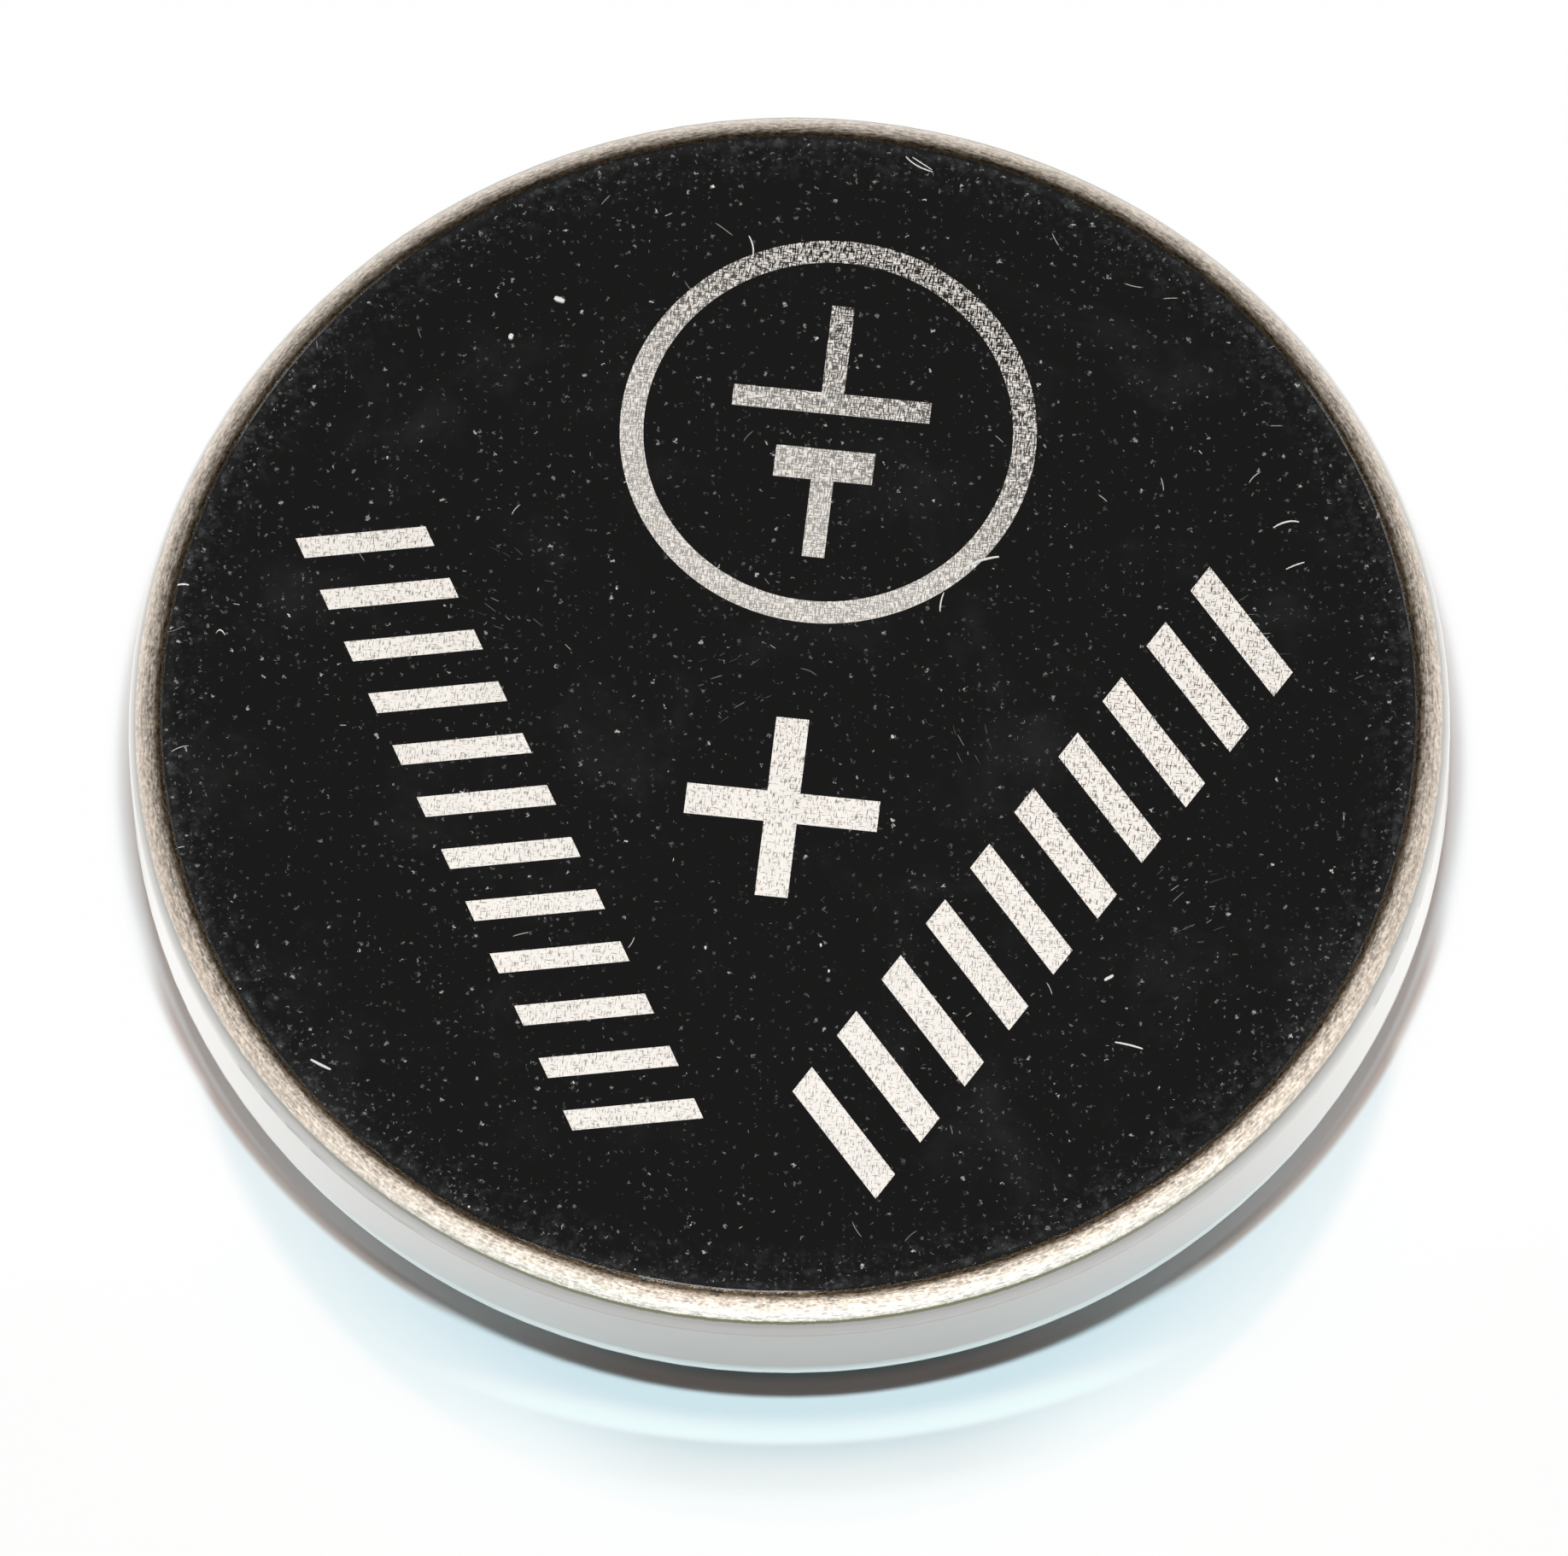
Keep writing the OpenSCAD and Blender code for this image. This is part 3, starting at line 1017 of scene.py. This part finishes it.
def table_colours(stage, place, away):
    """Paint of the table with painted light and shade: its cool tint near the cell, its shadows
    deepened in front, and a dip past the pale arc; and the mask of the pale arc there.
    """
    sideways, forth, _ = split(place)
    sideways = maths("ABSOLUTE", sideways)
    radius = CELL_RADIUS / MM
    # Painted light: near the cell in front the table is painted in the cool lamp's bluish tint.
    clear = highest(map_range(away["white"], radius * 1.04, radius * 1.35),
                    map_range(forth, radius * -0.8, radius * -0.2))
    colour = mix_colours(clear, stage.table_cool_light_tint, stage.table_colour)
    # Under the crimp in front the table is darker and browner, as it lies in the deepest shadow
    inner_tone, outer_tone = (0.42, 0.46, 0.46), (0.80, 0.64, 0.60)
    deep_tone = mix_colours(map_range(away["cell"], 11.22, 11.5), inner_tone, outer_tone)
    deep = ramps((away["cell"], 11.78, 11.6), (forth, -9.8, -11.3))
    # Outer edge of that shadow to the left and right
    edge_tone = (0.52, 0.38, 0.32)
    edge = ramps((away["edge"], 12.38, 12.52), (away["edge"], 12.74, 12.60),
                 (sideways, 6.0, 8.0), (forth, -2.0, -4.0))
    # Painted light: a pale arc in front of the cell, flatter than the cell's own outline, stands for
    # light that the wall throws on to the table; past it, painted shade in a dip
    arc = ramps((away["arc"], 15.30, 15.80), (away["arc"], 16.02, 15.84),
                (forth, radius * -0.86, radius * -0.97))
    dip_shade_tone = (0.88, 0.88, 0.88)
    dip = ramps((away["arc"], 15.84, 16.02), (away["arc"], 17.3, 16.6), (sideways, 6.0, 2.0))
    for mask, tone in ((deep, deep_tone), (edge, edge_tone), (dip, dip_shade_tone)):
        colour = vector_maths("MULTIPLY", colour, mix_colours(mask, WHITE, tone))
    return colour, arc


def table_white(place, away, arc):
    """How far the table is seen as plain white: more and more with the distance from the cell."""
    forth = split(place)[1]
    radius = CELL_RADIUS / MM
    near = map_range(away["white"], radius * 0.98, radius * 1.24, 0.0, 0.8)
    far = map_range(away["white"], radius * 1.24, radius * 4.9, 0.0, 0.2)
    # Painted light: beside and behind the cell a little white is mixed in right up to the cell,
    # which lightens its shadows there.
    beside = ramps((forth, radius * -0.93, radius * -0.6),
                   (away["cell"], radius * 0.9, radius * 0.95, 0.0, 0.16))
    # Beside the cell the table whitens right next to the shadow, and in front farther out
    beyond, delay = maths("MINIMUM", total(forth, 5.0), 0.0), 0.26
    limit = maths("MULTIPLY_ADD", beyond, delay, away["edge"])
    aside = map_range(limit, 12.45, 12.85, 0.0, 0.8)
    # Painted light: the pale arc glows, as light thrown by the wall
    gleam = product(arc, 0.8)
    return total(highest(near, aside), far, beside, gleam, clamp=True)


def add_table(stage):
    """Pale table, seen as white away from the cell and keeping the cell's shadow close to it."""
    mesh = bpy.data.meshes.new("table")
    half = 4.0
    mesh.from_pydata([(-half, -half, 0), (half, -half, 0), (half, half, 0), (-half, half, 0)],
                     [], [(0, 1, 2, 3)])
    table = add_object("table", mesh)
    material = bpy.data.materials.new("table_finish")
    tree = cleared_tree(material)
    place = scaled(source_node(tree, "ShaderNodeTexCoord").outputs["Object"], 1 / MM)
    away = {name: distance(place, (0.0, y, 0.0)) for name, y in MIDDLES.items()}
    colour, arc = table_colours(stage, place, away)
    paint = add_node("ShaderNodeBsdfDiffuse", {"Color": colour})
    # Painted light: the pale arc glows in a cool white
    arc_colour = (0.86, 1.0, 1.0)
    shine = mix_colours(arc, WHITE, arc_colour)
    glow = add_node("ShaderNodeEmission", {"Color": shine, "Strength": 1.0})
    share = product(rays(tree, "Camera", "Glossy", "Transmission"), table_white(place, away, arc))
    mixed = add_node("ShaderNodeMixShader", {0: share, 1: paint.outputs[0], 2: glow.outputs[0]})
    link_output("ShaderNodeOutputMaterial", mixed.outputs[0])
    mesh.materials.append(material)


def add_lamp(stage, name, side, elevation, size, power, colour):
    """Rectangular lamp that looks at the cell. Side is -1 in front of the cell and 1 behind it."""
    light = bpy.data.lights.new(name, "AREA")
    light.shape = "RECTANGLE"
    light.size, light.size_y = size
    light.energy, light.color = power, colour
    lamp = add_object(name, light)
    lift = math.radians(elevation)
    direction = Vector((0, side * math.cos(lift), math.sin(lift)))
    lamp.location = Vector((0, 0, CELL_HEIGHT)) + direction * stage.lamp_distance
    lamp.rotation_mode = "QUATERNION"
    lamp.rotation_quaternion = direction.to_track_quat("Z", "Y")
    # Shiny surfaces mirror the world's soft surroundings, and no small hot lamp
    lamp.visible_glossy = False


def add_surroundings(stage):
    """World: white to the camera, even on matt surfaces, and a dim ceiling in shiny ones."""
    world = bpy.data.worlds.new("surroundings")
    bpy.context.scene.world = world
    tree = cleared_tree(world)
    right, forth, up = split(source_node(tree, "ShaderNodeTexCoord").outputs["Generated"])
    # Bright from in front of the cell, and from both sides lower down, less from the left. Lowest
    # in front it is dimmer again, or the face would be pure white as seen from behind the cell.
    strength = ramps((forth, 0.2, -0.75, 0.95, 2.2), (right, -0.8, 0.0, 0.8, 1.0),
                     (up, 0.25, 0.45, 0.38, 1.0))
    screen = product(map_range(total(up, forth), 1.16, 0.84), strength)
    walls = map_range(up, 0.85, 0.0)
    sides = map_range(maths("ABSOLUTE", right), 0.08, 0.34, 0.0, 0.26)
    warm, cool = (1.0, 0.95, 0.89), (0.82, 0.95, 1.0)
    low_front = ramps((forth, -0.35, -0.7), (up, 0.85, 0.5), (up, 0.25, 0.45, 0.5, 1.0))
    bright = scaled(mix_colours(low_front, warm, cool), highest(walls, screen, sides))
    mirrored = vector_maths("MAXIMUM", bright, tuple(stage.ceiling_colour))
    shown = mix_colours(rays(tree, "Glossy"), stage.ambient_colour, mirrored)
    shown = mix_colours(rays(tree, "Camera", "Transmission"), shown, WHITE)
    background = add_node("ShaderNodeBackground", {"Color": shown, "Strength": 1.0})
    link_output("ShaderNodeOutputWorld", background.outputs[0])


def add_camera(stage):
    """Camera at the photograph's angle."""
    data = bpy.data.cameras.new("camera")
    camera = add_object("camera", data)
    lift, roll = stage.camera_lift, stage.camera_roll
    forward = Vector((0, math.cos(lift), -math.sin(lift)))
    right, up = Vector((1, 0, 0)), Vector((0, math.sin(lift), math.cos(lift)))
    aside, above = stage.camera_aside
    camera.location = (Vector((0, 0, CELL_HEIGHT)) - forward * stage.camera_distance
                       + right * aside + up * above)
    x_axis = math.cos(roll) * right - math.sin(roll) * up
    y_axis = math.sin(roll) * right + math.cos(roll) * up
    camera.rotation_mode = "QUATERNION"
    camera.rotation_quaternion = Matrix((x_axis, y_axis, -forward)).transposed().to_quaternion()
    data.sensor_width = SENSOR_WIDTH
    data.lens = stage.camera_lens
    data.clip_start, data.clip_end = 0.01, 10
    bpy.context.scene.camera = camera


class CELL_PT_panel(bpy.types.Panel):
    """Buttons and settings of the coin cell"""

    bl_idname = "CELL_PT_panel"
    bl_label = "Coin cell"
    bl_space_type = "VIEW_3D"
    bl_region_type = "UI"
    bl_category = "Coin cell"

    def draw(self, context):
        for operator in OPERATORS:
            self.layout.operator(operator.bl_idname)
        for name in SETTINGS:
            group = getattr(context.scene, name)
            for prop in group.__annotations__:
                self.layout.prop(group, prop)


SETTINGS = {"cell_marks": MarkSettings, "cell_finish": FinishSettings, "cell_stage": StageSettings}
OPERATORS = (CELL_OT_can, CELL_OT_cap, CELL_OT_gasket, CELL_OT_electrodes, CELL_OT_plus,
             CELL_OT_ring, CELL_OT_rows, CELL_OT_lint, CELL_OT_stage)


def register():
    for item in (*SETTINGS.values(), *OPERATORS, CELL_PT_panel):
        bpy.utils.register_class(item)
    for name, group in SETTINGS.items():
        setattr(bpy.types.Scene, name, PointerProperty(type=group))


def unregister():
    for name in SETTINGS:
        delattr(bpy.types.Scene, name)
    for item in reversed((*SETTINGS.values(), *OPERATORS, CELL_PT_panel)):
        bpy.utils.unregister_class(item)


def main():
    register()
    make_shared_effects()
    for operator in OPERATORS:
        group, name = operator.bl_idname.split(".")
        getattr(getattr(bpy.ops, group), name)()


if __name__ == "__main__":
    main()
